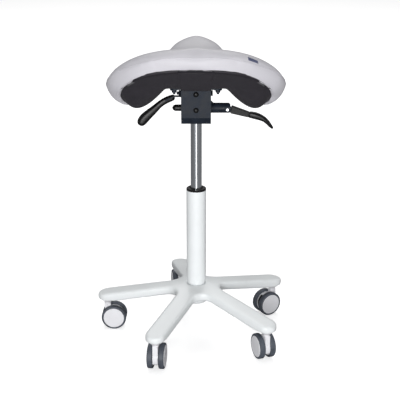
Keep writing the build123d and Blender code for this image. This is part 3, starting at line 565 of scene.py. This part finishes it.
def pan_z(x, y):
    """Height of the pan's underside at plan points, in mm."""
    lobe_x, lobe_z, floor_x, floor_z = smooth_curve(PAN_SECTIONS[:, 0], PAN_SECTIONS[:, 1:], y).T
    side = np.abs(x)
    inner = np.clip((lobe_x - side) / (lobe_x - floor_x), 0, 1) ** LOBE_INNER_POWER
    outer = np.clip((side - lobe_x) / LOBE_OUTER_WIDTH, 0, 2) ** LOBE_OUTER_POWER
    lobe = lobe_z + (floor_z - lobe_z) * inner + LOBE_OUTER_RISE * outer
    return np.where(y < CREASE_Y, CREASE_Z + BAND_SLOPE * (CREASE_Y - y), lobe)


def pan():
    """The moulded pan: a band sloping in under the rear, two lobes and a flat floor."""
    around, count = PAN_RINGS
    rows = outline_at(around)
    inward = inward_from(rows)
    rim_in, rim_z = rows[:, 5:7].T
    rim = np.column_stack([rows[:, :2] + inward * rim_in[:, None], rim_z])
    lip = rim + np.column_stack([inward * PAN_LIP_IN, np.full(around, PAN_LIP_UP)])
    rings = [lip, rim]
    middle = np.column_stack([np.zeros(around), np.clip(rows[:, 1], *PAN_MIDDLE_Y)])
    for step in range(1, count + 1):
        share = step / count
        plan = rim[:, :2] + (middle - rim[:, :2]) * share
        height = pan_z(plan[:, 0], plan[:, 1])
        near = np.clip(1 - np.hypot(*(plan - rim[:, :2]).T) / RIM_BLEND, 0, 1) ** 2
        rings.append(np.column_stack([plan, height + (rim_z - height) * near]))
    obj = new_object("pan", np.vstack(rings) * MM, grid_faces(len(rings), around, True))
    tidy_normals(obj)
    with_modifier(obj, "SMOOTH", factor=0.5, iterations=2)
    with_modifier(obj, "SOLIDIFY", thickness=0.003, offset=-1)
    return obj


def tapered_block(corners, bevel):
    """A box from its eight corners, bottom four then top four, with bevelled edges; in mm."""
    sides = [(k, (k + 1) % 4, (k + 1) % 4 + 4, k + 4) for k in range(4)]
    faces = [(3, 2, 1, 0), (4, 5, 6, 7)] + sides
    obj = new_object("block", np.array(corners, float) * MM, faces)
    with_modifier(obj, "BEVEL", width=bevel * MM, segments=3, limit_method="NONE")
    return obj


def joined(name, objects):
    """Several mesh objects as one."""
    work = bmesh.new()
    for obj in objects:
        obj.data.transform(obj.matrix_world)
        work.from_mesh(obj.data)
        bpy.data.objects.remove(obj)
    mesh = bpy.data.meshes.new(name)
    work.to_mesh(mesh)
    work.free()
    return added(name, mesh)


BLOCK_BEVEL = 4.0               # mm, as the corners are
BLOCK_CORNERS = [
    (-34, -116, 676), (34, -116, 676), (34, -61, 665), (-34, -61, 665),
    (-43, -177, 732), (43, -177, 732), (43, -150, 732), (-43, -150, 732),
]
rear_block = tapered_block(BLOCK_CORNERS, BLOCK_BEVEL)
piece(joined("seat_pan_moulding", [pan(), rear_block]), "seat", "pan_plastic", "seat_pan")

# ------------------------------------------------------------------ seam, stitches and tag
TUBE_END = 0.35                 # how much of its width a tube keeps at its ends
SEAM_RINGS = (400, 60, 4)       # finer seat rings than the cover's, which place the seam
SEAM_DROP = 0.86
SEAM_REACH = 0.30
SEAM_POINTS = 420
SEAM_HALF = (0.0011, 0.0007)    # half its width and half its height
STITCH_DROP = 0.02              # how much further down than the seam
STITCH_LIFT = 0.0001
STITCH_PITCH = 0.0042
STITCH_LENGTH = 0.0028
STITCH_POINTS = 5
STITCH_ROUTE_POINTS = 2400
THREAD_RADIUS = 0.0005
THREAD_SIDES = 6
surface = BVHTree.FromObject(cover, bpy.context.evaluated_depsgraph_get())


def on_cover(points, lift):
    """Points (m) moved onto the cushion's surface, lifted along its normal; with the normals."""
    found = [surface.find_nearest(Vector(p)) for p in points]
    normals = np.array([f[1][:] for f in found])
    return np.array([f[0][:] for f in found]) + normals * lift, normals


def tube_along(path, normals, half_width, half_height, sides=8):
    """Vertices and faces of an elliptical tube along a path, closed at its ends."""
    tangent = np.gradient(path, axis=0)
    tangent /= np.linalg.norm(tangent, axis=1)[:, None]
    across = np.cross(tangent, normals)
    across /= np.linalg.norm(across, axis=1)[:, None]
    angles = np.arange(sides) * 2 * math.pi / sides
    taper = np.ones(len(path))
    taper[[0, -1]] = TUBE_END
    verts = []
    for point, a, n, t in zip(path, across, normals, taper):
        for angle in angles:
            out = a * math.cos(angle) * half_width + n * math.sin(angle) * half_height
            verts.append(point + out * t)
    return verts, tube_faces(len(path), sides)


def seam_path(drop, reach, count):
    """Points along the rear crown, from the left side round the back to the right side, in m.

    drop: share of the way down the dome, 1 at its widest line; reach: share of the outline used."""
    around, over, under = SEAM_RINGS
    ring = seat_rings(around, over, under)[1][int(round(drop * over))]
    used = int(reach * around)
    path = ring[np.arange(-used, used + 1) % around]
    along = distance_along(path)
    return rows_at(np.linspace(0, along[-1], count), along, path) * MM


def seam():
    """The piped joint in the cover."""
    path, normals = on_cover(seam_path(SEAM_DROP, SEAM_REACH, SEAM_POINTS), 0.0)
    return new_object("seam_fold", *tube_along(path, normals, *SEAM_HALF))


def stitches():
    """Short threads sewn along the cover, below the seam."""
    route = seam_path(SEAM_DROP + STITCH_DROP, SEAM_REACH, STITCH_ROUTE_POINTS)
    path, normals = on_cover(route, STITCH_LIFT)
    along = distance_along(path)
    verts, faces = [], []
    for start in np.arange(0, along[-1] - STITCH_LENGTH, STITCH_PITCH):
        at = start + STITCH_LENGTH * np.linspace(0, 1, STITCH_POINTS)
        p = rows_at(at, along, path)
        n = rows_at(at, along, normals)
        n /= np.linalg.norm(n, axis=1)[:, None]
        v, f = tube_along(p, n, THREAD_RADIUS, THREAD_RADIUS, THREAD_SIDES)
        faces += [tuple(i + len(verts) for i in face) for face in f]
        verts += v
    return new_object("stitches", verts, faces)


piece(seam(), "seat", "upholstery")
threads = stitches()
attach(threads, "seat")
threads.data.materials.append(thread())

TAG_CENTRE = (0.1350, -0.174, 0.7660)
TAG_HALF = (0.0150, 0.0074)
TAG_SLOPE = -0.20
TAG_GRID = (14, 7)              # points across and down
TAG_LIFT = 0.0005
TAG_THICKNESS = 0.0009
TAG_BEVEL = 0.0003


def tag():
    """A blank ribbon that lies on the cushion's rear."""
    across, down = TAG_GRID
    along = Vector((1, 0, TAG_SLOPE)).normalized()
    up = Vector((-TAG_SLOPE, 0, 1)).normalized()
    points = []
    for r in range(down):
        for c in range(across):
            u = (2 * c / (across - 1) - 1) * TAG_HALF[0]
            v = (2 * r / (down - 1) - 1) * TAG_HALF[1]
            points.append(Vector(TAG_CENTRE) + along * u + up * v)
    verts = on_cover(points, TAG_LIFT)[0]
    obj = new_object("tag_ribbon", verts, grid_faces(down, across, False))
    with_modifier(obj, "SOLIDIFY", thickness=TAG_THICKNESS, offset=0)
    with_modifier(obj, "BEVEL", width=TAG_BEVEL, segments=2)
    return obj


piece(tag(), "seat", "tag", "seat_tag")

# ------------------------------------------------------------------ lever grips
GRIP_FULLNESS = 1.12            # makes up for what subdivision rounds away
GRIP_SECTIONS = 15
GRIP_SIDES = 12
OVAL_POWER = 0.72               # under 1 the oval section is squarish
GRIP_LEVELS = 2


def squared(value):
    """A sine or cosine, bent so that a circle becomes a squarish oval."""
    return math.copysign(abs(value) ** OVAL_POWER, value)


def blade(name, upper, lower, depth_at):
    """A flat handle between two edge lines in the X-Z plane, in mm, rounded across its depth."""
    steps = np.linspace(0, 1, GRIP_SECTIONS)
    top, bottom = (smooth_curve(np.linspace(0, 1, len(line)), line, steps) for line in (upper, lower))
    depth = np.interp(steps, *zip(*depth_at))
    verts = []
    for t, b, d in zip(top, bottom, depth):
        middle, half = (t + b) / 2, (t - b) / 2 * GRIP_FULLNESS
        for k in range(GRIP_SIDES):
            angle = 2 * math.pi * k / GRIP_SIDES
            x, z = middle + half * squared(math.sin(angle))
            verts.append((x * MM, d * squared(math.cos(angle)) * MM, z * MM))
    obj = new_object(name, verts, tube_faces(GRIP_SECTIONS, GRIP_SIDES))
    tidy_normals(obj)
    with_modifier(obj, "SUBSURF", levels=GRIP_LEVELS, render_levels=GRIP_LEVELS)
    return obj


lift_grip = blade(
    "lift_grip",
    [
        (128.5, 597), (142.8, 595.8), (156.8, 591),
        (172.5, 581), (183.1, 568.5), (191, 556),
    ],
    [
        (126.5, 583.5), (143.2, 579.2), (160.5, 574.6),
        (171, 568), (179.8, 559), (187.5, 553.5),
    ],
    [(0, 7), (0.2, 9), (0.6, 10), (1, 7)],
)
piece(lift_grip, "lift_lever", "black_plastic", "lift_lever_grip")
tilt_grip = blade(
    "tilt_grip",
    [
        (-53, 641), (-73.3, 634.2), (-90.6, 623.8), (-108, 609.8),
        (-125.4, 597), (-138.5, 585), (-144.6, 572), (-141, 563.5),
    ],
    [
        (-50, 627.8), (-70.2, 619), (-84, 610.3), (-97.9, 595),
        (-111.9, 580.5), (-122, 569), (-128, 563.5), (-133, 561.5),
    ],
    [(0, 6), (0.2, 8), (0.55, 11), (0.85, 12), (1, 8)],
)
piece(tilt_grip, "tilt_lever", "black_plastic", "tilt_lever_grip")

# ------------------------------------------------------------------ star base
STAR_VOXEL = 0.0026
STAR_SMOOTHING = 16


def star():
    """The cast base, its edges rounded off much more than the CAD solid's."""
    source = nodes["star_base"]
    mesh = source.data.copy()
    mesh.transform(source.matrix_world)
    obj = added("star_casting", mesh)
    tidy_normals(obj)
    with_modifier(obj, "REMESH", mode="VOXEL", voxel_size=STAR_VOXEL, use_smooth_shade=True)
    with_modifier(obj, "SMOOTH", factor=0.5, iterations=STAR_SMOOTHING)
    shade_smooth(obj)
    return obj


piece(star(), "root", "white_base", "star_base")

# ------------------------------------------------------------------ camera, light and floor
CAMERA_AT = (0.0095, -2.3856, 1.2203)
CAMERA_PITCH = 70.313
LENS = 90.07                    # mm, for a film 36 mm wide
FILM_WIDTH = 36
camera_data = bpy.data.cameras.new("camera")
camera_data.lens = LENS
camera_data.sensor_width = FILM_WIDTH
camera = added("camera", camera_data)
camera.location = CAMERA_AT
camera.rotation_euler = (math.radians(CAMERA_PITCH), 0, 0)
bpy.context.scene.camera = camera


def softbox(name, place, target, size, power):
    """A square area light that faces a target."""
    data = bpy.data.lights.new(name, "AREA")
    data.shape = "SQUARE"
    data.size = size
    data.energy = power
    light = added(name, data)
    light.location = place
    light.rotation_euler = (Vector(target) - Vector(place)).to_track_quat("-Z", "Y").to_euler()


BODY_MIDDLE = (0, 0, 0.4)
softbox("key", (-0.25, -3.4, 0.75), BODY_MIDDLE, 1.6, 94)
softbox("fill", (2.6, -1.6, 1.0), BODY_MIDDLE, 2.0, 9)
softbox("top", (0.0, 3.2, 4.4), BODY_MIDDLE, 3.0, 120)

# a low light between the camera and the stool, which gives the chrome its bright line
low_data = bpy.data.lights.new("low", "AREA")
low_data.shape = "RECTANGLE"
low_data.size = 0.42
low_data.size_y = 1.5
low_data.energy = 5
low = added("low", low_data)
low.location = (0.08, -1.75, 0.02)
low.rotation_euler = (math.pi, 0, 0)
low.visible_camera = False


def seen_as(tree, seen, unseen, output):
    """Let the camera see one shader, and light everything else by another."""
    ray = tree.nodes.new("ShaderNodeLightPath")
    mix = tree.nodes.new("ShaderNodeMixShader")
    tree.links.new(ray.outputs["Is Camera Ray"], mix.inputs["Fac"])
    tree.links.new(unseen, mix.inputs[1])
    tree.links.new(seen, mix.inputs[2])
    tree.links.new(mix.outputs["Shader"], tree.nodes[output].inputs["Surface"])


world = bpy.data.worlds.new("studio")
world.use_nodes = True
studio = world.node_tree
ambient = studio.nodes["Background"]
ambient.inputs["Color"].default_value = (1, 1, 1, 1)
ambient.inputs["Strength"].default_value = 0.26
backdrop = studio.nodes.new("ShaderNodeBackground")
backdrop.inputs["Strength"].default_value = 1.0
seen_as(studio, backdrop.outputs["Background"], ambient.outputs["Background"], "World Output")
bpy.context.scene.world = world
bpy.context.scene.view_settings.view_transform = "Standard"

FLOOR_HALF = 6
floor_corners = [(x * FLOOR_HALF, y * FLOOR_HALF, 0) for x, y in ((-1, -1), (1, -1), (1, 1), (-1, 1))]
floor = new_object("floor", floor_corners, [(0, 1, 2, 3)], smooth=False)
floor_mat, floor_tree, floor_shader = material("pale_floor", (0.9, 0.9, 0.9), 0.9)
haze = texture(floor_tree, "ShaderNodeTexNoise", 3, Detail=2)
tint(floor_tree, floor_shader, haze.outputs["Fac"], (0.895, 0.895, 0.895), (0.905, 0.905, 0.905))
floor_shader.inputs["Emission Color"].default_value = (1, 1, 1, 1)
floor_shader.inputs["Emission Strength"].default_value = 0.6
# seen directly it is white; what it throws back on the stool is dimmer
dim = floor_tree.nodes.new("ShaderNodeBsdfDiffuse")
dim.inputs["Color"].default_value = (0.30, 0.30, 0.31, 1)
seen_as(floor_tree, floor_shader.outputs["BSDF"], dim.outputs["BSDF"], "Material Output")
floor.data.materials.append(floor_mat)
